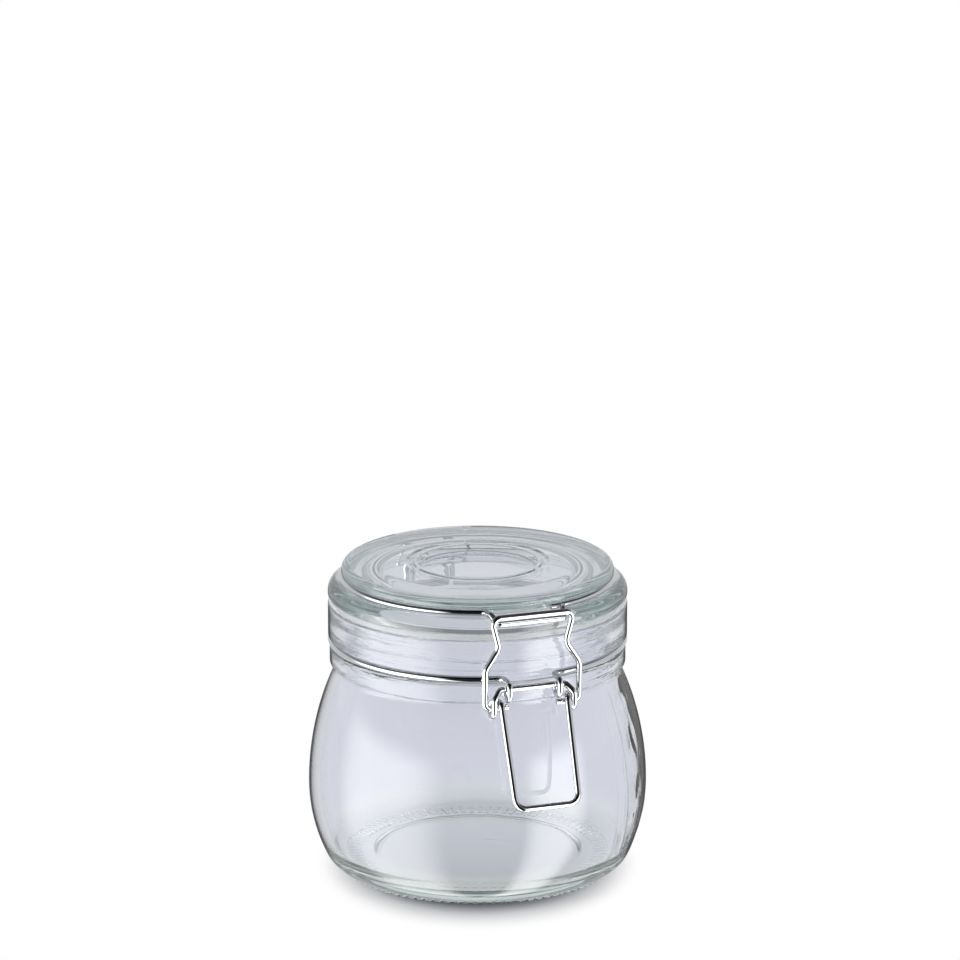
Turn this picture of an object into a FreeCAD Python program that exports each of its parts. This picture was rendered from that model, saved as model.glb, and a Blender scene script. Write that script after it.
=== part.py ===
import FreeCAD, Part
import math
import os
from FreeCAD import Vector

# Clip-top jar: a glass jar with a glass lid, a flat gasket and a bent-wire closure.
# Origin on the jar's axis in the plane it stands on, +Z up, closure towards -Y, hinge towards +Y.
# All sizes are in millimetres.

# Jar body
body_radius = 55.0          # outside, at the belly
belly_height = 28.0         # where the body is widest
body_height = 67.4          # where the body meets the neck
lower_curve = 52.0          # radius of the side below the belly
wall = 3.2
heel_curve = 9.0            # outside corner at the base
inner_heel_curve = 8.0
base_thickness = 4.2
punt_inset = 22.0           # from the belly in to the raised middle of the base
punt_height = 3.0
punt_edge_height = 1.2
punt_step = 1.8             # width of the slope from the punt to the standing ring

# Neck
shoulder_width = 6.5        # how far the neck's thick ring, the finish, lies inside the belly
finish_height = 11.3
finish_wall = 6.5
finish_round = 1.0
mouth_round = 1.2
bead_inset = 0.5            # the bead behind the finish
bead_height = 6.6
bead_gap = 0.9              # from the body's corner to the bead
bead_round = 1.5
shoulder_inset = 1.97       # the body's corner behind the bead
groove_room = 0.9           # a groove's height beyond the wire in it
small_round = 0.4

# Wire closure
wire = 2.0                  # diameter of all the bent wires
play = 0.3                  # gap between wires that turn on each other
seat = 0.05                 # gap between a wire and the glass that carries it
clear = 0.4                 # gap between a moving wire and the glass

# Gasket and lid
gasket_thickness = 2.2
gasket_inset = 0.2          # the gasket's edge behind the lid's edge
gasket_round = 0.5
flange_height = 5.0
flange_curve = 3.6
drum_inset = 4.4            # the lid's upper drum behind its flange
drum_height = 3.4           # from the lid wire's groove to the top
drum_round = 2.4
lid_wire_room = 0.15        # room above the lid wire in its groove
recess_radius = 20.9
recess_slope = 2.0          # width of the recess's sloping side
recess_depth = 2.0
recess_round = 0.8
plug_clearance = 1.0        # between the plug and the mouth
plug_gap = 0.5              # between the plug and the gasket
plug_depth = 4.2            # below the gasket's top
plug_taper = 0.4
plug_wall = 4.4
plug_round = 1.3
lid_plate = 4.4             # thickness under the recess
underside_rise = 1.3        # how much the underside domes
underside_curve = 3.0

# Neck wire's hooks and the lever
hook_x = 8.5
hook_lead = 3.5             # from where the wire leaves its groove to the hook
hook_slack = 1.2            # how much deeper the hook is than the lever's bar needs
hook_tail = 0.6             # the hook's end, below the lever's axis
hook_to_pin = 0.6           # gap between the hook's underside and the bail's pin
crank_back = 0.6            # how far the bail's pivot lies behind the lever's
crank_end = 1.1             # the slanting crank ends this far above the eye
grip_taper = 0.6            # the handle's legs close in by this much
grip_drop = 29.5            # from the bail's pivot down to the handle's end
grip_stand = 10.5           # the handle's end stands this far out from the belly
grip_bend = 3.5
joint_x = 4.7               # where the lever wire's two ends meet
joint_gap = 0.16

# Bail and the lid wire's latch
waist_x = 11.3
waist_drop = 9.9            # below the bail's top bar
top_flare = 2.6             # from the waist out to the top corners
shoulder_drop = 16.9        # where the legs reach their full width, below the top bar
shoulder_bend = 4.0
latch_drop = 2.05           # below the lid wire's ring
latch_arm_x = 12.9
latch_arm_back = 3.6        # where the arm turns down, behind the latch
ring_end_x = 9.1            # the lid wire's cut end
weld = 0.4                  # how deep the latch's second arm is welded into the ring

# Hinge at the back
hinge_drop = 7.3            # from the lid's flange down to the hinge
loop_x = 8.7                # outer strand of the neck wire's eyes
loop_lead = 3.6             # from where the wire leaves its groove to the eye
drop_lead = 3.0             # the same for the lid wire's loops
drop_lean = 2.2             # how far the drop loop leans out on its way down

# Radii worked out from the sizes above
finish_radius = body_radius - shoulder_width
mouth_radius = finish_radius - finish_wall
bead_radius = finish_radius - bead_inset
shoulder_radius = bead_radius - shoulder_inset
shoulder_in = body_radius - shoulder_radius
shoulder_rise = body_height - belly_height
upper_curve = (shoulder_in ** 2 + shoulder_rise ** 2) / (2 * shoulder_in)
punt_radius = body_radius - punt_inset
lid_radius = finish_radius
rim_radius = lid_radius - drum_inset
plug_radius = mouth_radius - plug_clearance
neck_wire_radius = bead_radius - clear
lid_wire_radius = rim_radius - 2 * seat

# Heights
bead_bottom = body_height + bead_gap
bead_top = bead_bottom + bead_height
finish_bottom = bead_top + wire + groove_room
finish_top = finish_bottom + finish_height
lid_bottom = finish_top + gasket_thickness
flange_top = lid_bottom + flange_height
lid_wire_height = flange_top + wire / 2 + seat
drum_bottom = lid_wire_height + wire / 2 + lid_wire_room
lid_top = drum_bottom + drum_height
neck_wire_height = (bead_top + finish_bottom) / 2
hinge_height = lid_bottom - hinge_drop

# The wires' places. An eye's centreline runs round a wire at strand_pitch.
strand_pitch = wire + play
bend = 1.1 * wire
small_bend = 0.6 * wire
lever_out = finish_radius + 1.35 * wire
lever_height = neck_wire_height - strand_pitch
pin_out = lever_out - crank_back
pin_height = lever_height - strand_pitch - hook_slack - wire - hook_to_pin
lever_x = hook_x + 1.35 * wire
eye_x = lever_x + strand_pitch
grip_x = eye_x - strand_pitch
bail_x = eye_x + 1.2 * wire
pin_end_x = grip_x - 1.45 * wire
grip_out = body_radius + grip_stand
latch_x = waist_x
latch_out = lid_radius + 0.65 * wire
latch_height = lid_wire_height - latch_drop
bail_out = latch_out + 0.75 * wire
bail_height = latch_height + 1.25 * wire
hinge_out = finish_radius + clear + 1.5 * wire + play
hinge_x = loop_x + 2.4 * wire


def corner(before, at, after, radius):
    into = (before - at).normalize()
    onward = (after - at).normalize()
    half = into.getAngle(onward) / 2
    reach = radius / math.tan(half)
    middle_way = (into + onward).normalize()
    middle = at + middle_way * (radius / math.sin(half) - radius)
    return at + into * reach, middle, at + onward * reach


# Straight runs from point to point, with a tangent arc at each point between the ends.
# Each point is (x, y, z, bend radius), and the radius is left out at the two ends.
def bent(points):
    places = [Vector(*entry[:3]) for entry in points]
    edges = []
    last = places[0]
    for index in range(1, len(places) - 1):
        radius = points[index][3]
        if radius == 0:
            edges.append(Part.LineSegment(last, places[index]).toShape())
            last = places[index]
            continue
        start, middle, end = corner(places[index - 1], places[index], places[index + 1], radius)
        if start.distanceToPoint(last) > 1e-6:
            edges.append(Part.LineSegment(last, start).toShape())
        edges.append(Part.Arc(start, middle, end).toShape())
        last = end
    edges.append(Part.LineSegment(last, places[-1]).toShape())
    return edges


# A profile in the XZ plane, its points (radius, height, corner radius), turned about the axis.
def turned(edges):
    outline = Part.Wire(Part.__sortEdges__(edges))
    face = Part.Face(outline)
    return face.revolve(Vector(0, 0, 0), Vector(0, 0, 1), 360)


def flat(points):
    return [(entry[0], 0, entry[1]) + tuple(entry[2:]) for entry in points]


def arc_in_plane(start, middle, end):
    return Part.Arc(*[Vector(r, 0, z) for r, z in (start, middle, end)]).toShape()


def line_in_plane(start, end):
    return Part.LineSegment(Vector(start[0], 0, start[1]), Vector(end[0], 0, end[1])).toShape()


# Round wire along a path of edges, with its ends cut square.
def wire_along(edges):
    path = Part.Wire(edges)
    start = edges[0].valueAt(edges[0].FirstParameter)
    way = edges[0].tangentAt(edges[0].FirstParameter)
    ring = Part.Wire(Part.makeCircle(wire / 2, start, way))
    solid = path.makePipeShell([ring], True, False)
    expected = math.pi * (wire / 2) ** 2 * path.Length
    print("wire", round(path.Length, 1), "mm, volume ratio", round(solid.Volume / expected, 4))
    return solid


def side_radius(height, curve, inset):
    drop = height - belly_height
    return body_radius - curve + math.sqrt((curve - inset) ** 2 - drop ** 2)


# The rounded corner between a flat base and the side below the belly.
def heel(base, inset, rounding):
    centre_r = body_radius - lower_curve
    reach = lower_curve - inset - rounding
    rise = belly_height - base - rounding
    across = math.sqrt(reach ** 2 - rise ** 2)
    flat_end = (centre_r + across, base)
    side_scale = (lower_curve - inset) / reach
    side_end = (centre_r + across * side_scale, belly_height - rise * side_scale)
    middle_angle = (math.pi / 2 + math.atan2(rise, across)) / 2
    middle = (centre_r + across + rounding * math.cos(middle_angle),
              base + rounding - rounding * math.sin(middle_angle))
    return flat_end, middle, side_end


# The two curves of the side, from the heel past the belly to a given height.
def side_curves(start, top, inset):
    low_r = body_radius - lower_curve
    half = math.atan2(belly_height - start[1], start[0] - low_r) / 2
    radius = lower_curve - inset
    low_middle = (low_r + radius * math.cos(half), belly_height - radius * math.sin(half))
    belly = (body_radius - inset, belly_height)
    high_middle_z = (belly_height + top) / 2
    high_middle = (side_radius(high_middle_z, upper_curve, inset), high_middle_z)
    high_end = (side_radius(top, upper_curve, inset), top)
    return [arc_in_plane(start, low_middle, belly), arc_in_plane(belly, high_middle, high_end)], high_end


def make_jar_glass():
    outer_flat, outer_middle, outer_side = heel(0, 0, heel_curve)
    outer_sides, shoulder = side_curves(outer_side, body_height, 0)
    floor_z = punt_edge_height + base_thickness
    inner_flat, inner_middle, inner_side = heel(floor_z, wall, inner_heel_curve)
    reach = upper_curve - wall
    across = mouth_radius - (body_radius - upper_curve)
    inner_top = belly_height + math.sqrt(reach ** 2 - across ** 2)
    inner_sides, inner_shoulder = side_curves(inner_side, inner_top, wall)
    floor_middle = punt_height + base_thickness
    dome_rise = punt_height - punt_edge_height
    dome_curve = (punt_radius ** 2 + dome_rise ** 2) / (2 * dome_rise)
    dome_r = punt_radius / 2
    dome_z = punt_height - dome_curve + math.sqrt(dome_curve ** 2 - dome_r ** 2)
    edges = [
        arc_in_plane((0, punt_height), (dome_r, dome_z), (punt_radius, punt_edge_height)),
        line_in_plane((punt_radius, punt_edge_height), (punt_radius + punt_step, 0)),
        line_in_plane((punt_radius + punt_step, 0), outer_flat),
        arc_in_plane(outer_flat, outer_middle, outer_side),
    ] + outer_sides
    groove_floor = neck_wire_radius - wire / 2 - seat
    edges += bent(flat([
        shoulder,
        (shoulder[0], bead_bottom, small_round),
        (bead_radius, bead_bottom, bead_round),
        (bead_radius, bead_top, bead_round),
        (groove_floor, bead_top, small_round),
        (groove_floor, finish_bottom, small_round),
        (finish_radius, finish_bottom, small_round),
        (finish_radius, finish_top, finish_round),
        (mouth_radius, finish_top, mouth_round),
        inner_shoulder,
    ]))
    edges += inner_sides
    edges += [
        arc_in_plane(inner_side, inner_middle, inner_flat),
        line_in_plane(inner_flat, (punt_radius, floor_z)),
        arc_in_plane((punt_radius, floor_z), (dome_r, dome_z + base_thickness), (0, floor_middle)),
        line_in_plane((0, floor_middle), (0, punt_height)),
    ]
    return turned(edges)


def make_gasket():
    inner = plug_radius + plug_gap
    outer = lid_radius - gasket_inset
    middle = (inner + outer) / 2
    return turned(bent(flat([
        (middle, finish_top),
        (outer, finish_top, gasket_round),
        (outer, lid_bottom, gasket_round),
        (inner, lid_bottom, gasket_round),
        (inner, finish_top, gasket_round),
        (middle, finish_top),
    ])))


def make_lid_glass():
    recess_floor = lid_top - recess_depth
    underside = recess_floor - lid_plate
    plug_bottom = lid_bottom - plug_depth
    plug_inner = plug_radius - plug_wall
    groove_floor = lid_wire_radius - wire / 2 - seat
    return turned(bent(flat([
        (0, recess_floor),
        (recess_radius - recess_slope, recess_floor, recess_round),
        (recess_radius, lid_top, recess_round),
        (rim_radius, lid_top, drum_round),
        (rim_radius, drum_bottom, small_round),
        (groove_floor, drum_bottom, small_round),
        (groove_floor, flange_top, small_round),
        (lid_radius, flange_top, flange_curve),
        (lid_radius, lid_bottom, small_round),
        (plug_radius, lid_bottom, small_round),
        (plug_radius - plug_taper, plug_bottom, plug_round),
        (plug_inner, plug_bottom, plug_round),
        (plug_inner - plug_taper, underside - underside_rise, underside_curve),
        (0, underside, 0),
        (0, recess_floor),
    ])))


def on_ring(radius, height, angle):
    turn = math.radians(angle)
    return Vector(radius * math.sin(turn), -radius * math.cos(turn), height)


# Part of a wire ring. Angles start at the closure and grow towards +X.
def ring_run(radius, height, start, end):
    middle = (start + end) / 2
    return [Part.Arc(*[on_ring(radius, height, a) for a in (start, middle, end)]).toShape()]


# Where a ring's tangent, taken at an angle, reaches a distance along X.
def leave_ring(radius, angle, across):
    turn = math.radians(angle)
    along = (across - radius * math.sin(turn)) / math.cos(turn)
    return -radius * math.cos(turn) + along * math.sin(turn)


def ring_angle(radius, across):
    return math.degrees(math.asin(across / radius))


def swapped(points):
    return [(-entry[0],) + tuple(entry[1:]) for entry in reversed(points)]


def hook_points():
    radius = neck_wire_radius
    angle = ring_angle(radius, hook_x + hook_lead)
    level = neck_wire_height
    low = lever_height - strand_pitch - hook_slack
    front = -(lever_out + strand_pitch)
    back = -(lever_out - strand_pitch)
    points = [
        tuple(on_ring(radius, level, angle)),
        (hook_x, leave_ring(radius, angle, hook_x), level, bend),
        (hook_x, front, level, bend),
        (hook_x, front, low, bend),
        (hook_x, back, low, bend),
        (hook_x, back, lever_height - hook_tail),
    ]
    return points, angle


# One eye of the neck wire round the hinge bar, from the outer strand to the inner one.
def eye_points():
    radius = neck_wire_radius
    level = neck_wire_height
    inner_x = loop_x - strand_pitch
    start = 180 - ring_angle(radius, loop_x + loop_lead)
    end = 180 - ring_angle(radius, inner_x - loop_lead)
    near = hinge_out - strand_pitch
    far = hinge_out + strand_pitch
    over = hinge_height + strand_pitch
    under = hinge_height - strand_pitch
    quarter = strand_pitch / 4
    points = [
        tuple(on_ring(radius, level, start)),
        (loop_x, leave_ring(radius, start, loop_x), level, small_bend),
        (loop_x, near, level, small_bend),
        (loop_x, near, over, bend),
        (loop_x - quarter, far, over, bend),
        (loop_x - 3 * quarter, far, under, bend),
        (inner_x, near, under, small_bend),
        (inner_x, near, level, small_bend),
        (inner_x, leave_ring(radius, end, inner_x), level, small_bend),
        tuple(on_ring(radius, level, end)),
    ]
    return points, start, end


def make_neck_wire():
    hook, hook_angle = hook_points()
    eye, eye_start, eye_end = eye_points()
    radius = neck_wire_radius
    level = neck_wire_height
    edges = bent(hook[::-1])
    edges += ring_run(radius, level, hook_angle, eye_start)
    edges += bent(eye)
    edges += ring_run(radius, level, eye_end, 360 - eye_end)
    edges += bent(swapped(eye))
    edges += ring_run(radius, level, 360 - eye_start, 360 - hook_angle)
    edges += bent(swapped(hook[::-1]))
    return wire_along(edges)


def make_lid_wire():
    radius = lid_wire_radius
    level = lid_wire_height
    drop_angle = 180 - ring_angle(radius, hinge_x + drop_lead)
    arm_angle = ring_angle(radius, latch_arm_x + drop_lead)
    drop = [
        tuple(on_ring(radius, level, drop_angle)),
        (hinge_x, leave_ring(radius, drop_angle, hinge_x), level, bend),
        (hinge_x, hinge_out - drop_lean, level, bend),
        (hinge_x, hinge_out, hinge_height, bend),
    ]
    arm = [
        tuple(on_ring(radius, level, -arm_angle)),
        (-latch_arm_x, leave_ring(radius, -arm_angle, -latch_arm_x), level, bend),
        (-(latch_arm_x + latch_x) / 2, latch_arm_back - latch_out, level, small_bend),
        (-latch_x, -latch_out, latch_height, small_bend),
    ]
    weld_y = -math.sqrt((radius + wire - weld) ** 2 - latch_arm_x ** 2)
    other_arm = swapped(arm[2:]) + [(latch_arm_x, weld_y, level)]
    edges = ring_run(radius, level, ring_angle(radius, ring_end_x), drop_angle)
    edges += bent(drop + swapped(drop))
    edges += ring_run(radius, level, 360 - drop_angle, 360 - arm_angle)
    latch_middle = (0, -latch_out, latch_height)
    edges += bent(arm + [latch_middle])
    first = wire_along(edges)
    second = wire_along(bent([latch_middle] + other_arm))
    return first.fuse(second).removeSplitter()


def make_lever():
    front = -(pin_out + strand_pitch)
    back = -(pin_out - strand_pitch)
    over = pin_height + strand_pitch
    under = pin_height - strand_pitch
    half = [
        (lever_x, -lever_out, lever_height, bend),
        (eye_x, front, over + crank_end, bend),
        (eye_x, front, under, bend),
        (eye_x, back, under, bend),
        (eye_x - strand_pitch / 3, back, over, bend),
        (grip_x, front, over, bend),
        (grip_x - grip_taper, -grip_out, pin_height - grip_drop, grip_bend),
    ]
    start = (joint_x + joint_gap / 2, -lever_out, lever_height)
    end = (joint_x - joint_gap / 2, -lever_out, lever_height)
    return wire_along(bent([start] + half + swapped(half) + [end]))


def make_bail():
    def out_at(height):
        share = (height - pin_height) / (bail_height - pin_height)
        return -(pin_out + share * (bail_out - pin_out))
    shoulder = bail_height - shoulder_drop
    waist = bail_height - waist_drop
    half = [
        (pin_end_x, -pin_out, pin_height),
        (bail_x, -pin_out, pin_height, bend),
        (bail_x, out_at(shoulder), shoulder, shoulder_bend),
        (waist_x, out_at(waist), waist, shoulder_bend),
        (waist_x + top_flare, -bail_out, bail_height, bend),
    ]
    return wire_along(bent(half + swapped(half)))


makers = {
    "jar_glass": make_jar_glass,
    "neck_wire": make_neck_wire,
    "gasket": make_gasket,
    "lid_glass": make_lid_glass,
    "lid_wire": make_lid_wire,
    "lever": make_lever,
    "bail": make_bail,
}

os.makedirs("parts", exist_ok=True)
for node, maker in makers.items():
    shape = maker()
    solids = shape.Solids
    print(node, "solids", len(solids), "valid", shape.isValid(), "volume", round(shape.Volume))
    solids[0].exportStep("parts/" + node + ".step")
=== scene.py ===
import math

import bpy
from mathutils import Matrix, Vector


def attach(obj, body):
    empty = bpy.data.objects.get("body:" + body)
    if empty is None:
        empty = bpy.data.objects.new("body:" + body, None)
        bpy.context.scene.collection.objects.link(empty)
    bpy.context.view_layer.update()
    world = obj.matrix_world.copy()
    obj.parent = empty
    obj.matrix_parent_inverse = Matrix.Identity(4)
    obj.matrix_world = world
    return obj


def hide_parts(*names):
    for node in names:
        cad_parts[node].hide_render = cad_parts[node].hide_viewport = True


# Clip-top jar: clear pressed glass, silicone gasket and bent steel wire, on a white table.
# Sizes in the dictionaries are in millimetres and become metres in the meshes.
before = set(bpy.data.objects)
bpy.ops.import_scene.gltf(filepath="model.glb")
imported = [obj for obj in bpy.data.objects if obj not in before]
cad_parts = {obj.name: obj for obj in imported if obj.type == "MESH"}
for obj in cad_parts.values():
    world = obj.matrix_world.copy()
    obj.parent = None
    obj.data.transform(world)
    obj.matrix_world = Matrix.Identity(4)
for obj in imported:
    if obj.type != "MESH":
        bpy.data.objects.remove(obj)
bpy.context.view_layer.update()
mm = 0.001
print("frame loaded:", ", ".join(sorted(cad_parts)))


def hexColour(code):
    # sRGB hex to the linear colour that a shader takes
    parts = [int(code[i:i + 2], 16) / 255 for i in (1, 3, 5)]
    return tuple(c / 12.92 if c <= 0.04045 else ((c + 0.055) / 1.055) ** 2.4 for c in parts) + (1.0,)


def addNode(tree, kind, settings=None, inputs=None):
    node = tree.nodes.new(kind)
    for name, value in (settings or {}).items():
        setattr(node, name, value)
    for socket, value in (inputs or {}).items():
        if isinstance(value, bpy.types.NodeSocket):
            tree.links.new(value, node.inputs[socket])
        else:
            node.inputs[socket].default_value = value
    return node


def emptyMaterial(name):
    material = bpy.data.materials.new(name)
    material.use_nodes = True
    material.node_tree.nodes.clear()
    return material, material.node_tree


def giveSurface(tree, shader, volume=None):
    inputs = {"Surface": shader}
    if volume is not None:
        inputs["Volume"] = volume
    addNode(tree, "ShaderNodeOutputMaterial", {}, inputs)


# outlines lie in the plane of radius and height
def arcPoints(centre, radius, start, end, spacing):
    # points along an arc, angles in degrees from +radius towards +height
    count = max(2, round(abs(end - start) / 360 * 2 * math.pi * radius / spacing))
    angles = [math.radians(start + (end - start) * i / count) for i in range(count + 1)]
    return [(centre[0] + radius * math.cos(a), centre[1] + radius * math.sin(a)) for a in angles]


def straightPoints(start, end, spacing):
    count = max(1, round(math.dist(start, end) / spacing))
    return [(start[0] + (end[0] - start[0]) * i / count, start[1] + (end[1] - start[1]) * i / count)
            for i in range(count + 1)]


def roundedPoints(corners, spacing, cornerSteps):
    # straight runs with a tangent arc at each corner that has a radius
    outline = []
    last = corners[0][:2]
    for before, at, after in zip(corners, corners[1:], corners[2:]):
        radius = at[2] if len(at) > 2 else 0
        here = Vector(at[:2])
        into = (Vector(before[:2]) - here).normalized()
        onward = (Vector(after[:2]) - here).normalized()
        if radius == 0:
            outline += straightPoints(last, tuple(here), spacing)
            last = tuple(here)
            continue
        half = into.angle(onward) / 2
        start = here + into * (radius / math.tan(half))
        end = here + onward * (radius / math.tan(half))
        centre = here + (into + onward).normalized() * (radius / math.sin(half))
        outline += straightPoints(last, tuple(start), spacing)
        fromCentre = start - centre
        turn = fromCentre.angle_signed(end - centre)
        for i in range(1, cornerSteps):
            angle = -turn * i / cornerSteps
            outline.append((centre.x + fromCentre.x * math.cos(angle) - fromCentre.y * math.sin(angle),
                            centre.y + fromCentre.x * math.sin(angle) + fromCentre.y * math.cos(angle)))
        last = tuple(end)
    outline += straightPoints(last, tuple(corners[-1][:2]), spacing)
    return outline


spinning = {"leastStep": 0.01, "mergeWithin": 0.004}  # points nearer than these are one


def withoutRepeats(outline):
    kept = [outline[0]]
    for point in outline[1:]:
        if math.dist(point, kept[-1]) > spinning["leastStep"]:
            kept.append(point)
    return kept


def spunPiece(name, outline, steps):
    # one vertex extruded along the outline, then spun about the axis
    outline = withoutRepeats(outline)
    bpy.ops.object.select_all(action="DESELECT")
    bpy.ops.mesh.primitive_plane_add(size=0.01, location=(0, 0, 0))
    piece = bpy.context.object
    piece.name = piece.data.name = name
    bpy.ops.object.mode_set(mode="EDIT")
    bpy.ops.mesh.select_mode(type="VERT")
    bpy.ops.mesh.select_all(action="SELECT")
    bpy.ops.mesh.merge(type="CENTER")
    bpy.ops.transform.translate(value=(outline[0][0] * mm, 0, outline[0][1] * mm))
    for (r0, z0), (r1, z1) in zip(outline, outline[1:]):
        bpy.ops.mesh.extrude_vertices_move(
            TRANSFORM_OT_translate={"value": ((r1 - r0) * mm, 0, (z1 - z0) * mm)})
    bpy.ops.mesh.select_all(action="SELECT")
    bpy.ops.mesh.spin(steps=steps, angle=2 * math.pi, center=(0, 0, 0), axis=(0, 0, 1))
    bpy.ops.mesh.select_all(action="SELECT")
    bpy.ops.mesh.remove_doubles(threshold=spinning["mergeWithin"] * mm)
    bpy.ops.mesh.select_all(action="SELECT")
    bpy.ops.mesh.normals_make_consistent(inside=False)
    bpy.ops.object.mode_set(mode="OBJECT")
    bpy.ops.object.shade_smooth()
    print(name, "spun:", len(piece.data.vertices), "vertices")
    return piece


# it looks above and beside the jar, so that the jar stands low in the frame
camera = {"azimuth": -20.0, "elevation": 17.3, "distance": 2200.0, "target": 50.0,
          "lens": 253.3, "sensor": 36.0, "up": 76.2, "right": 0.8}
azimuth, elevation = math.radians(camera["azimuth"]), math.radians(camera["elevation"])
towards = Vector((math.sin(azimuth) * math.cos(elevation), -math.cos(azimuth) * math.cos(elevation),
                  math.sin(elevation)))
target = Vector((0, 0, camera["target"] * mm))
rightWay = Vector((math.cos(azimuth), math.sin(azimuth), 0))
upWay = towards.cross(rightWay)
shifted = (rightWay * camera["right"] + upWay * camera["up"]) * mm
cameraData = bpy.data.cameras.new("camera")
cameraData.lens = camera["lens"]
cameraData.sensor_width = camera["sensor"]
cameraData.clip_end = 100  # metres
cameraObject = bpy.data.objects.new("camera", cameraData)
bpy.context.scene.collection.objects.link(cameraObject)
cameraObject.location = target + towards * camera["distance"] * mm
cameraObject.rotation_euler = (target + shifted - cameraObject.location).to_track_quat("-Z", "Y").to_euler()
bpy.context.scene.camera = cameraObject
print("camera placed")

# glass jar: a round belly of two curves, a raised base, and a neck with the wire's groove
jar = {
    "bodyRadius": 55.0, "bellyHeight": 28.0,  # the widest place
    "lowerCurve": 52.0, "upperCurve": 91.0,  # the side's curves below and above it
    "wall": 3.2, "heelCurve": 9.0, "innerHeelCurve": 8.0,
    "shoulder": 67.4, "innerShoulder": 68.33,  # where the side ends, outside and inside
    "domeEdge": 33.0, "domeRise": 1.8, "hollow": 1.2, "ringInner": 34.8,  # raised middle, standing ring
    "floor": 5.4,  # inside floor at the raised middle's edge
    "ribHeight": 0.5, "ribInner": 38.6, "ribOuter": 44.6, "ribColumns": 4, "ribAngle": 35.0, "steps": 360,
    "neck": [  # radius, height and rounding of each corner
        (46.03, 67.4), (46.03, 68.3, 0.8), (48.0, 68.3, 1.1), (48.0, 74.9, 1.5),  # bead
        (46.55, 74.9, 0.4), (46.55, 77.8, 0.4), (48.5, 77.8, 0.4),  # the wire's groove
        (48.5, 89.1, 1.0), (42.0, 89.1, 1.2),  # finish and mouth
        (42.2, 85.5, 6), (41.3, 82.5, 6), (42.2, 79.5, 6), (41.3, 76.5, 6), (42.2, 73.5, 6),  # the bore's waves
        (41.7, 70.9, 5), (42.0, 68.3)]}


def heelArc(base, inset, rounding):
    # centre of the heel's arc, and the angle at which it meets the belly
    reach = jar["lowerCurve"] - inset - rounding
    rise = jar["bellyHeight"] - base - rounding
    across = math.sqrt(reach ** 2 - rise ** 2)
    centreR = jar["bodyRadius"] - jar["lowerCurve"]
    sideAngle = -math.degrees(math.atan2(rise, across))
    return (centreR + across, base + rounding), sideAngle


def sideArcs(startAngle, topZ, inset):
    # the belly's side from the heel up to a height, set in from the outside
    low = arcPoints((jar["bodyRadius"] - jar["lowerCurve"], jar["bellyHeight"]),
                    jar["lowerCurve"] - inset, startAngle, 0, 2.0)
    radius = jar["upperCurve"] - inset
    topAngle = math.degrees(math.asin((topZ - jar["bellyHeight"]) / radius))
    high = arcPoints((jar["bodyRadius"] - jar["upperCurve"], jar["bellyHeight"]), radius, 0, topAngle, 2.0)
    return low + high


outerHeel, outerSide = heelArc(0, 0, jar["heelCurve"])
innerHeel, innerSide = heelArc(jar["floor"], jar["wall"], jar["innerHeelCurve"])
domeRadius = (jar["domeEdge"] ** 2 + jar["domeRise"] ** 2) / (2 * jar["domeRise"])
domeAngle = math.degrees(math.asin(jar["domeEdge"] / domeRadius))
domeBelow = jar["hollow"] + jar["domeRise"] - domeRadius
domeAbove = jar["floor"] + jar["domeRise"] - domeRadius
# from the middle underneath, up the outside and down the inside: the last number is the points' spacing
jarOutline = arcPoints((0, domeBelow), domeRadius, 90, 90 - domeAngle, 2.5)
jarOutline += straightPoints((jar["domeEdge"], jar["hollow"]), (jar["ringInner"], 0), 1.0)
jarOutline += straightPoints((jar["ringInner"], 0), (outerHeel[0], 0), 1.2)
jarOutline += arcPoints(outerHeel, jar["heelCurve"], -90, outerSide, 1.0)
jarOutline += sideArcs(outerSide, jar["shoulder"], 0)
jarOutline += roundedPoints(jar["neck"], 1.5, 6)  # spacing, and steps in each corner
jarOutline += list(reversed(sideArcs(innerSide, jar["innerShoulder"], jar["wall"])))
jarOutline += list(reversed(arcPoints(innerHeel, jar["innerHeelCurve"], -90, innerSide, 1.0)))
jarOutline += straightPoints((innerHeel[0], jar["floor"]), (jar["domeEdge"], jar["floor"]), 1.5)
jarOutline += arcPoints((0, domeAbove), domeRadius, 90 - domeAngle, 90, 2.5)
# the standing ring lies a rib's height up, and its ribs reach down to the table
jarOutline = [(r, max(z, jar["ribHeight"])) for r, z in jarOutline]
glassJar = spunPiece("glassJar", jarOutline, jar["steps"])


def selectFaces(piece, wanted):
    # leaves the piece in edit mode with the wanted faces selected
    bpy.ops.object.select_all(action="DESELECT")
    bpy.context.view_layer.objects.active = piece
    piece.select_set(True)
    bpy.ops.object.mode_set(mode="EDIT")
    bpy.ops.mesh.select_mode(type="FACE")
    bpy.ops.mesh.select_all(action="DESELECT")
    bpy.ops.object.mode_set(mode="OBJECT")
    for face in piece.data.polygons:
        face.select = wanted(face.center / mm, face.normal)
    bpy.ops.object.mode_set(mode="EDIT")


def onRib(place, normal):
    # every other pair of columns of faces under the standing ring
    radius = math.hypot(place.x, place.y)
    column = math.floor(math.degrees(math.atan2(place.y, place.x)) % 360 * jar["steps"] / 360)
    underneath = place.z < 3 * jar["ribHeight"] and normal.z < -0.5
    inRing = jar["ribInner"] < radius < jar["ribOuter"]
    return underneath and inRing and column % jar["ribColumns"] < jar["ribColumns"] / 2


selectFaces(glassJar, onRib)
bpy.ops.mesh.extrude_region_move(TRANSFORM_OT_translate={"value": (0, 0, -jar["ribHeight"] * mm)})
bpy.ops.object.mode_set(mode="OBJECT")
bpy.ops.object.shade_smooth_by_angle(angle=math.radians(jar["ribAngle"]))
print("standing ring ribbed")

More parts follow.
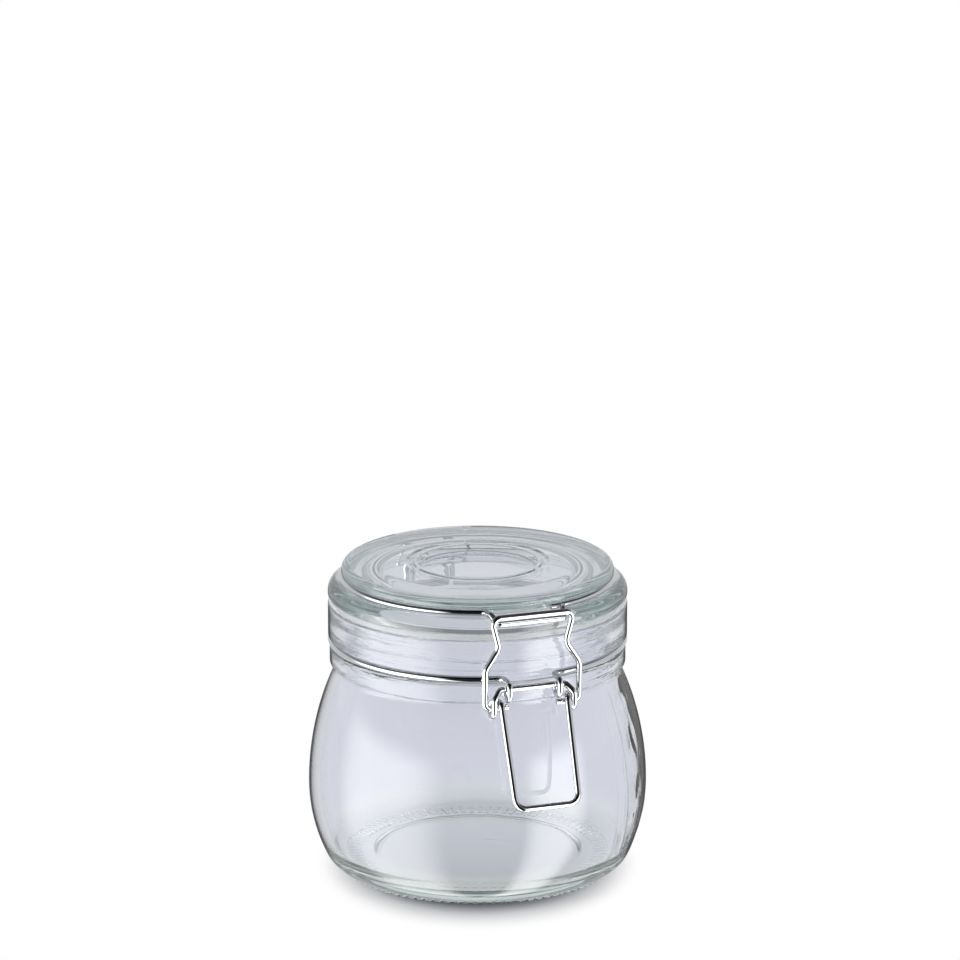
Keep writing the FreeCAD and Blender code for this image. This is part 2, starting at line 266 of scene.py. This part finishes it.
# the mould's seam, and the uneven glass that lies beside it
seam = {"angle": 41.0, "width": 1.3, "height": 0.3, "low": 6.0, "high": 66.5, "fadeLow": 8.0, "fadeHigh": 4.0,
        "behindShare": 0.15, "waveReach": 30.0, "waveDepth": 0.85, "waveSize": 5.5,
        "innerShare": 0.5, "innerElsewhere": 0.06}


def seamAngle(place):
    # degrees from the nearer of the two seams, growing away from the closure
    angle = math.degrees(math.atan2(place.x, -place.y)) - seam["angle"]
    return (angle + 90) % 180 - 90


uneven = glassJar.vertex_groups.new(name="unevenGlass")
ridge = glassJar.vertex_groups.new(name="seamRidge")
seamTurn = math.radians(seam["angle"])
for vertex in glassJar.data.vertices:
    place = vertex.co / mm
    radius = math.hypot(place.x, place.y)
    if not seam["low"] < place.z < seam["high"]:
        continue
    ends = min(1.0, (place.z - seam["low"]) / seam["fadeLow"], (seam["high"] - place.z) / seam["fadeHigh"])
    away = seamAngle(place)
    curve = jar["lowerCurve"] if place.z < jar["bellyHeight"] else jar["upperCurve"]
    side = jar["bodyRadius"] - curve + math.sqrt(curve ** 2 - (place.z - jar["bellyHeight"]) ** 2)
    isOuter = radius > side - jar["wall"] / 2
    # the seam behind is the fainter one
    inFront = place.x * math.sin(seamTurn) > place.y * math.cos(seamTurn)
    share = ends * (1.0 if inFront else seam["behindShare"])
    if isOuter:
        across = math.radians(away) * radius / seam["width"]
        ridge.add([vertex.index], share * math.exp(-3 * across ** 2), "REPLACE")
    if 0 <= away < seam["waveReach"]:
        wave = math.sin(math.pi * (away / seam["waveReach"]) ** 0.6)
        uneven.add([vertex.index], share * wave * (1.0 if isOuter else seam["innerShare"]), "REPLACE")
    elif not isOuter:
        uneven.add([vertex.index], seam["innerElsewhere"] * ends, "REPLACE")

clouds = bpy.data.textures.new("unevenGlass", "CLOUDS")
clouds.noise_scale = seam["waveSize"] * mm
clouds.noise_depth = 1
bpy.context.view_layer.objects.active = glassJar
for title, group, strength, middle, texture in (
        ("uneven", "unevenGlass", seam["waveDepth"] * mm, 1.0, clouds),
        ("ridge", "seamRidge", seam["height"] * mm, 0.0, None)):
    displace = glassJar.modifiers.new(title, "DISPLACE")
    displace.vertex_group = group
    displace.strength = strength
    displace.mid_level = middle
    displace.texture = texture
    displace.texture_coords = "LOCAL"
    bpy.ops.object.modifier_apply(modifier=title)
print("seam raised")

# glass lid: radius, height and rounding of each corner
lid = {"steps": 360, "outline": [
    (0, 99.9), (18.7, 99.9, 0.9), (19.4, 101.9, 0.4), (20.6, 101.9, 0.4),  # recess and its lip
    (21.2, 101.55, 0.4), (22.4, 101.55, 0.6), (23.4, 101.9, 0.6),  # groove beside the lip
    (44.1, 101.9, 2.4), (44.1, 98.5, 0.4),  # disc
    (42.95, 98.5, 0.4), (42.95, 96.3, 0.4),  # the wire's groove
    (48.5, 96.3, 3.6), (48.5, 91.3, 0.4),  # flange
    (41.0, 91.3, 0.4), (40.6, 87.1, 1.3), (36.6, 87.1, 1.3), (35.4, 95.2, 6.5), (0, 95.2)]}  # hollow plug
glassLid = spunPiece("glassLid", roundedPoints(lid["outline"], 1.5, 7), lid["steps"])

# gasket: a flat ring, its outline closed at the middle of its underside
gasket = {"inner": 41.5, "outer": 48.3, "low": 89.1, "high": 91.3, "rounding": 0.5, "middle": 45.0, "steps": 240}
gasketOutline = [(gasket["middle"], gasket["low"])]
gasketOutline += [(gasket[side], gasket[level], gasket["rounding"]) for side, level in (
    ("outer", "low"), ("outer", "high"), ("inner", "high"), ("inner", "low"))]
gasketOutline += [(gasket["middle"], gasket["low"])]
gasketRing = spunPiece("gasketRing", roundedPoints(gasketOutline, 0.8, 5), gasket["steps"])

for piece, body, slot, node in ((glassJar, "jar", "jar_glass", "jar_glass"),
                                (glassLid, "lid", "lid_glass", "lid_glass"),
                                (gasketRing, "lid", "gasket", "gasket")):
    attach(piece, body)
    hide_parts(node)
print("jar, lid and gasket ride their bodies")


def setRamp(node, stops):
    # grey levels along a colour ramp, from (place, level) pairs
    elements = node.color_ramp.elements
    while len(elements) < len(stops):
        elements.new(0.5)
    for element, (place, grey) in zip(elements, stops):
        element.position = place
    for element, (place, grey) in zip(elements, stops):
        element.color = (grey, grey, grey, 1.0)


def pressedGlass(name, looks):
    # pressed soda-lime glass: clear and colourless face on, with painted shade where the outer wall turns away and a
    # painted lighter tint low down, slightly rippled
    material, tree = emptyMaterial(name)
    coordinates = addNode(tree, "ShaderNodeTexCoord")
    place = addNode(tree, "ShaderNodeSeparateXYZ", {}, {0: coordinates.outputs["Object"]})
    ripples = addNode(tree, "ShaderNodeTexNoise", {}, {
        "Vector": coordinates.outputs["Object"], "Scale": 1 / (looks["rippleWidth"] * mm), "Detail": 1.0})
    height = ripples.outputs["Fac"]
    if looks["streakHeight"]:
        # the neck's glass lies in streaks around it
        wide, tall = 1 / (looks["streakWidth"] * mm), 1 / (looks["streakTall"] * mm)
        squeezed = addNode(tree, "ShaderNodeVectorMath", {"operation": "MULTIPLY"}, {
            0: coordinates.outputs["Object"], 1: (wide, wide, tall)})
        streaks = addNode(tree, "ShaderNodeTexNoise", {}, {
            "Vector": squeezed.outputs["Vector"], "Scale": 1.0, "Detail": 2.0})
        onNeck = addNode(tree, "ShaderNodeMapRange", {"interpolation_type": "SMOOTHSTEP"}, {
            "Value": place.outputs["Z"], "From Min": looks["streakFrom"] * mm, "From Max": looks["streakTo"] * mm,
            "To Min": 0.0, "To Max": looks["streakHeight"] / looks["rippleHeight"]})
        height = addNode(tree, "ShaderNodeMath", {"operation": "MULTIPLY_ADD"}, {
            0: streaks.outputs["Fac"], 1: onNeck.outputs["Result"], 2: height}).outputs[0]
    bump = addNode(tree, "ShaderNodeBump", {}, {
        "Height": height, "Strength": 1.0, "Distance": looks["rippleHeight"] * mm})
    # painted light: lower down the glass is tinted lighter, so the foot looks brighter
    paintedLightFoot = addNode(tree, "ShaderNodeMapRange", {"interpolation_type": "SMOOTHSTEP"}, {
        "Value": place.outputs["Z"], "From Min": looks["footTo"] * mm, "From Max": looks["footFrom"] * mm})
    tint = addNode(tree, "ShaderNodeMix", {"data_type": "RGBA"}, {
        0: paintedLightFoot.outputs["Result"], 6: hexColour(looks["tint"]), 7: hexColour(looks["paintedLightFoot"])})
    glass = addNode(tree, "ShaderNodeBsdfPrincipled", {}, {
        "Base Color": tint.outputs[2], "Roughness": looks["roughness"], "IOR": looks["ior"],
        "Transmission Weight": 1.0, "Normal": bump.outputs["Normal"]})
    # painted shade: a dark shader is mixed into upright walls where they turn away from the eye, and level faces stay
    # clear
    facing = addNode(tree, "ShaderNodeLayerWeight", {}, {"Blend": 0.5})
    paintedEdgeShadeLevel = addNode(tree, "ShaderNodeValToRGB", {}, {"Fac": facing.outputs["Facing"]})
    setRamp(paintedEdgeShadeLevel, looks["paintedEdgeShadeRamp"])
    lie = addNode(tree, "ShaderNodeSeparateXYZ", {}, {0: coordinates.outputs["Normal"]})
    level = addNode(tree, "ShaderNodeMath", {"operation": "ABSOLUTE"}, {0: lie.outputs["Z"]})
    upright = addNode(tree, "ShaderNodeMapRange", {"interpolation_type": "SMOOTHSTEP"}, {
        "Value": level.outputs[0], "From Min": looks["uprightTo"], "From Max": looks["uprightFrom"],
        "To Min": 1.0, "To Max": 0.0})
    # only on the outside: the inner wall and the plug stay clear at their edges
    across = addNode(tree, "ShaderNodeCombineXYZ", {}, {0: place.outputs["X"], 1: place.outputs["Y"]})
    outwards = addNode(tree, "ShaderNodeVectorMath", {"operation": "DOT_PRODUCT"}, {
        0: across.outputs[0], 1: coordinates.outputs["Normal"]})
    outside = addNode(tree, "ShaderNodeMath", {"operation": "GREATER_THAN"}, {0: outwards.outputs["Value"], 1: 0.0})
    surface = addNode(tree, "ShaderNodeNewGeometry")
    nearFace = addNode(tree, "ShaderNodeMath", {"operation": "SUBTRACT"}, {0: 1.0, 1: surface.outputs["Backfacing"]})
    radius = addNode(tree, "ShaderNodeVectorMath", {"operation": "LENGTH"}, {0: across.outputs[0]})
    outer = addNode(tree, "ShaderNodeMapRange", {"interpolation_type": "SMOOTHSTEP"}, {
        "Value": radius.outputs["Value"], "From Min": looks["outerFrom"] * mm, "From Max": looks["outerTo"] * mm})
    paintedEdgeShade = paintedEdgeShadeLevel.outputs["Color"]
    for limit in (upright.outputs["Result"], outside.outputs[0], nearFace.outputs[0], outer.outputs["Result"]):
        paintedEdgeShade = addNode(tree, "ShaderNodeMath", {"operation": "MULTIPLY"}, {0: paintedEdgeShade, 1: limit}).outputs[0]
    dark = addNode(tree, "ShaderNodeBsdfPrincipled", {}, {
        "Base Color": hexColour(looks["paintedEdgeShade"]), "Roughness": 0.5, "Specular IOR Level": 0.1})
    seen = addNode(tree, "ShaderNodeMixShader", {}, {0: paintedEdgeShade, 1: glass.outputs["BSDF"], 2: dark.outputs["BSDF"]})
    # lamps shine through, as they do through thin clear glass, and less through the belly's lower side
    lower = addNode(tree, "ShaderNodeMapRange", {"interpolation_type": "SMOOTHSTEP"}, {
        "Value": place.outputs["Z"], "From Min": looks["overhangTo"] * mm, "From Max": looks["overhangFrom"] * mm})
    overhang = addNode(tree, "ShaderNodeMath", {"operation": "MULTIPLY"},
                       {0: outer.outputs["Result"], 1: lower.outputs["Result"]})
    passed = addNode(tree, "ShaderNodeMix", {"data_type": "RGBA"}, {
        0: overhang.outputs[0], 6: hexColour(looks["shadow"]), 7: hexColour(looks["overhang"])})
    shadow = addNode(tree, "ShaderNodeBsdfTransparent", {}, {"Color": passed.outputs[2]})
    path = addNode(tree, "ShaderNodeLightPath")
    both = addNode(tree, "ShaderNodeMixShader", {}, {
        0: path.outputs["Is Shadow Ray"], 1: seen.outputs["Shader"], 2: shadow.outputs["BSDF"]})
    # thick glass is a little green
    depth = addNode(tree, "ShaderNodeVolumeAbsorption", {}, {
        "Color": hexColour(looks["depth"]), "Density": looks["density"]})
    giveSurface(tree, both.outputs["Shader"], depth.outputs["Volume"])
    return material


clearGlass = {"ior": 1.51, "roughness": 0.0, "depth": "#D3DEDC", "shadow": "#ECEDF2",
              "footFrom": 7.0, "footTo": 16.0, "outerFrom": 40.0, "outerTo": 45.0,
              "overhangFrom": 18.0, "overhangTo": 36.0}
# the dark edge colours below are painted shade, and the jar's lighter foot tint is painted light
jarLooks = dict(
    clearGlass, tint="#F1F2F9", paintedLightFoot="#F4F7F7", paintedEdgeShade="#0A0C14", overhang="#7C8088", density=14.0,
    uprightTo=0.3, uprightFrom=0.65,
    paintedEdgeShadeRamp=[(0.54, 0.0), (0.66, 0.08), (0.74, 0.22), (0.8, 0.46), (0.85, 0.9), (0.88, 1.0)],
    rippleWidth=14.0, rippleHeight=0.03,
    streakFrom=66.0, streakTo=70.0, streakWidth=24.0, streakTall=1.4, streakHeight=0.32)
lidLooks = dict(
    clearGlass, tint="#F0F2F5", paintedLightFoot="#F0F2F5", paintedEdgeShade="#141817", overhang="#ECEDF2", density=20.0,
    uprightTo=0.15, uprightFrom=0.5,
    paintedEdgeShadeRamp=[(0.66, 0.0), (0.76, 0.08), (0.83, 0.28), (0.88, 0.65), (0.92, 0.95), (0.95, 1.0)],
    rippleWidth=16.0, rippleHeight=0.004, streakHeight=0.0)
jarGlass = pressedGlass("pressedJarGlass", jarLooks)
lidGlass = pressedGlass("pressedLidGlass", lidLooks)

# drawn steel wire, bright from the die: a dark core and white edges, from the studio that it mirrors
wireLooks = {"colour": "#D2D3D6", "roughness": 0.07}
steel, tree = emptyMaterial("drawnSteelWire")
wireShader = addNode(tree, "ShaderNodeBsdfPrincipled", {}, {
    "Base Color": hexColour(wireLooks["colour"]), "Metallic": 1.0, "Roughness": wireLooks["roughness"]})
giveSurface(tree, wireShader.outputs["BSDF"])

# moulded silicone rubber: clear, but milky beside the glass, with soft highlights
gasketLooks = {"colour": "#FBFCFC", "roughness": 0.22, "ior": 1.42, "clearness": 0.7, "shadow": "#E4E6EA"}
silicone, tree = emptyMaterial("clearSilicone")
rubber = addNode(tree, "ShaderNodeBsdfPrincipled", {}, {
    "Base Color": hexColour(gasketLooks["colour"]), "Roughness": gasketLooks["roughness"],
    "IOR": gasketLooks["ior"], "Transmission Weight": gasketLooks["clearness"]})
shadow = addNode(tree, "ShaderNodeBsdfTransparent", {}, {"Color": hexColour(gasketLooks["shadow"])})
path = addNode(tree, "ShaderNodeLightPath")
both = addNode(tree, "ShaderNodeMixShader", {}, {
    0: path.outputs["Is Shadow Ray"], 1: rubber.outputs["BSDF"], 2: shadow.outputs["BSDF"]})
giveSurface(tree, both.outputs["Shader"])

for piece, material in ((glassJar, jarGlass), (glassLid, lidGlass), (gasketRing, silicone)):
    piece.data.materials.clear()
    piece.data.materials.append(material)
for name in ("neck_wire", "lid_wire", "lever", "bail"):
    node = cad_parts[name]
    node.data.materials.clear()
    node.data.materials.append(steel)

print("glass, silicone and steel given")

# the table is white paper: lit near the jar, where it takes the lamps' shadow and a painted contact shadow, and plain
# white further off
tableLooks = {"size": 8.0, "below": 0.2, "paper": "#F4F5F7", "paintedContactShadow": "#5E626C",
              "contactFrom": 0.66, "contactTo": 0.88, "glow": 0.06, "paintedGlowThroughGlass": 0.79, "throughShare": 0.75,
              "shadowAcross": 48.0, "shadowAlong": 64.0, "shadowFrom": 0.78, "shadowTo": 1.12}
white = hexColour("#FFFFFF")
bpy.ops.object.select_all(action="DESELECT")
bpy.ops.mesh.primitive_plane_add(size=tableLooks["size"], location=(0, 0, -tableLooks["below"] * mm))
table = bpy.context.object
table.name = "table"
paper, tree = emptyMaterial("whiteTable")
coordinates = addNode(tree, "ShaderNodeTexCoord")
turned = addNode(tree, "ShaderNodeVectorRotate", {"rotation_type": "Z_AXIS"}, {
    "Vector": coordinates.outputs["Object"], "Angle": -azimuth})
squeezed = addNode(tree, "ShaderNodeVectorMath", {"operation": "DIVIDE"}, {
    0: turned.outputs["Vector"], 1: (tableLooks["shadowAcross"] * mm, tableLooks["shadowAlong"] * mm, 1.0)})
reach = addNode(tree, "ShaderNodeVectorMath", {"operation": "LENGTH"}, {0: squeezed.outputs["Vector"]})
# painted contact shadow: the paper is darkest where the jar stands on it
paintedContactShadow = addNode(tree, "ShaderNodeMapRange", {"interpolation_type": "SMOOTHSTEP"}, {
    "Value": reach.outputs["Value"], "From Min": tableLooks["contactFrom"], "From Max": tableLooks["contactTo"]})
shade = addNode(tree, "ShaderNodeMix", {"data_type": "RGBA"}, {
    0: paintedContactShadow.outputs["Result"], 6: hexColour(tableLooks["paintedContactShadow"]), 7: hexColour(tableLooks["paper"])})
diffuse = addNode(tree, "ShaderNodeBsdfDiffuse", {}, {"Color": shade.outputs[2]})
glow = addNode(tree, "ShaderNodeEmission", {}, {"Color": white, "Strength": tableLooks["glow"]})
lit = addNode(tree, "ShaderNodeAddShader", {}, {0: diffuse.outputs[0], 1: glow.outputs[0]})
plain = addNode(tree, "ShaderNodeEmission", {}, {"Color": white, "Strength": 1.0})
away = addNode(tree, "ShaderNodeMapRange", {"interpolation_type": "SMOOTHSTEP"}, {
    "Value": reach.outputs["Value"], "From Min": tableLooks["shadowFrom"], "From Max": tableLooks["shadowTo"]})
sheet = addNode(tree, "ShaderNodeMixShader", {}, {0: away.outputs["Result"], 1: lit.outputs[0], 2: plain.outputs[0]})
# painted light: the paper seen through the glass glows brighter, as if the glass gathered light on it
bright = addNode(tree, "ShaderNodeEmission", {}, {"Color": white, "Strength": tableLooks["paintedGlowThroughGlass"]})
path = addNode(tree, "ShaderNodeLightPath")
through = addNode(tree, "ShaderNodeMath", {"operation": "MULTIPLY"}, {
    0: path.outputs["Is Transmission Ray"], 1: tableLooks["throughShare"]})
sheet = addNode(tree, "ShaderNodeMixShader", {}, {0: through.outputs[0], 1: sheet.outputs[0], 2: bright.outputs[0]})
# metal and glass reflect the studio below the table too, so their upright highlights run right down
opened = addNode(tree, "ShaderNodeBsdfTransparent")
reflected = addNode(tree, "ShaderNodeMath", {"operation": "SUBTRACT"}, {
    0: path.outputs["Is Glossy Ray"], 1: path.outputs["Is Transmission Ray"]})
sheet = addNode(tree, "ShaderNodeMixShader", {}, {
    0: reflected.outputs[0], 1: sheet.outputs[0], 2: opened.outputs[0]})
giveSurface(tree, sheet.outputs[0])
table.data.materials.append(paper)
print("table laid")

# a white tent, greyer overhead: reflections also see its soft boxes and the room's dark front
# boxes are azimuth, half width, half width where they end, and strength
studio = {"ambient": 0.38, "overheadStart": 0.25, "overheadEnd": 0.8, "overheadLevel": 0.3,
          "glossStart": 0.35, "glossEnd": 0.6, "glossOverhead": 0.08, "glossLevel": 0.75,
          "front": (-20.0, 28.0, 58.0), "frontLevel": 0.02,
          "boxes": [(-86.0, 8.0, 46.0, 4.1), (36.0, 4.0, 26.0, 5.4)], "boxFull": 0.06, "boxGone": 0.24}
world = bpy.data.worlds.new("studio")
world.use_nodes = True
bpy.context.scene.world = world
tree = world.node_tree
tree.nodes.clear()
path = addNode(tree, "ShaderNodeLightPath")
way = addNode(tree, "ShaderNodeTexCoord")
parts = addNode(tree, "ShaderNodeSeparateXYZ", {}, {0: way.outputs["Generated"]})
across = addNode(tree, "ShaderNodeCombineXYZ", {}, {0: parts.outputs["X"], 1: parts.outputs["Y"]})
along = addNode(tree, "ShaderNodeVectorMath", {"operation": "NORMALIZE"}, {0: across.outputs[0]})


def byHeight(start, end, startLevel, endLevel):
    # a level that changes with the height of the way looked, between two heights
    return addNode(tree, "ShaderNodeMapRange", {"interpolation_type": "SMOOTHSTEP"}, {
        "Value": parts.outputs["Z"], "From Min": start, "From Max": end,
        "To Min": startLevel, "To Max": endLevel}).outputs["Result"]


def sector(azimuthDegrees, full, gone, inside, outside):
    # inside within full degrees of a direction, fading to outside at gone degrees
    turn = math.radians(azimuthDegrees)
    towardsIt = addNode(tree, "ShaderNodeVectorMath", {"operation": "DOT_PRODUCT"}, {
        0: along.outputs["Vector"], 1: (math.sin(turn), -math.cos(turn), 0.0)})
    return addNode(tree, "ShaderNodeMapRange", {"interpolation_type": "SMOOTHSTEP"}, {
        "Value": towardsIt.outputs["Value"], "From Min": math.cos(math.radians(gone)),
        "From Max": math.cos(math.radians(full)), "To Min": outside, "To Max": inside}).outputs["Result"]


overhead = byHeight(studio["overheadStart"], studio["overheadEnd"], 1.0, studio["overheadLevel"])
glossOverhead = byHeight(studio["glossStart"], studio["glossEnd"], 1.0, studio["glossOverhead"])
boxHeight = byHeight(studio["boxGone"], studio["boxFull"], 0.0, 1.0)
gloss = addNode(tree, "ShaderNodeMath", {"operation": "MULTIPLY"}, {
    0: glossOverhead, 1: sector(*studio["front"], studio["frontLevel"], studio["glossLevel"])}).outputs[0]
for azimuthDegrees, full, gone, strength in studio["boxes"]:
    box = addNode(tree, "ShaderNodeMath", {"operation": "MULTIPLY"}, {
        0: sector(azimuthDegrees, full, gone, strength, 0.0), 1: boxHeight})
    gloss = addNode(tree, "ShaderNodeMath", {"operation": "ADD"}, {0: gloss, 1: box.outputs[0]}).outputs[0]
level = addNode(tree, "ShaderNodeMix", {}, {0: path.outputs["Is Glossy Ray"], 2: studio["ambient"], 3: gloss})
level = addNode(tree, "ShaderNodeMix", {}, {0: path.outputs["Is Transmission Ray"], 2: level.outputs[0], 3: overhead})
level = addNode(tree, "ShaderNodeMix", {}, {0: path.outputs["Is Camera Ray"], 2: level.outputs[0], 3: 1.0})
background = addNode(tree, "ShaderNodeBackground", {}, {"Color": white, "Strength": level.outputs[0]})
addNode(tree, "ShaderNodeOutputWorld", {}, {"Surface": background.outputs[0]})
print("studio round the table")

# azimuth in degrees, then height, distance, width and tallness in metres, and power in watts
lamps = {"overheadBox": (165, 1.3, 0.45, 1.0, 1.0, 9), "leftBox": (-90, 0.4, 1.1, 0.7, 0.8, 6),
         "rightBox": (36, 0.4, 1.1, 0.35, 0.8, 3)}
for name, (azimuthDegrees, height, distance, width, tall, power) in lamps.items():
    turn = math.radians(azimuthDegrees)
    light = bpy.data.lights.new(name, "AREA")
    light.shape = "RECTANGLE"
    light.size, light.size_y = width, tall
    light.energy = power
    lamp = bpy.data.objects.new(name, light)
    bpy.context.scene.collection.objects.link(lamp)
    # the world's soft boxes stand for the lamps in glass and metal
    lamp.visible_glossy = False
    lamp.visible_transmission = False
    lamp.location = (math.sin(turn) * distance, -math.cos(turn) * distance, height)
    lamp.rotation_euler = (lamp.location - target).to_track_quat("Z", "Y").to_euler()
print("lamps lit:", len(lamps))

bpy.context.scene.view_settings.view_transform = "Standard"
# light goes through many walls of glass before it is lost
bounces = {"all": 32, "glossy": 16, "transmission": 32}
cycles = bpy.context.scene.cycles
cycles.max_bounces = bounces["all"]
cycles.glossy_bounces = bounces["glossy"]
cycles.transmission_bounces = bounces["transmission"]
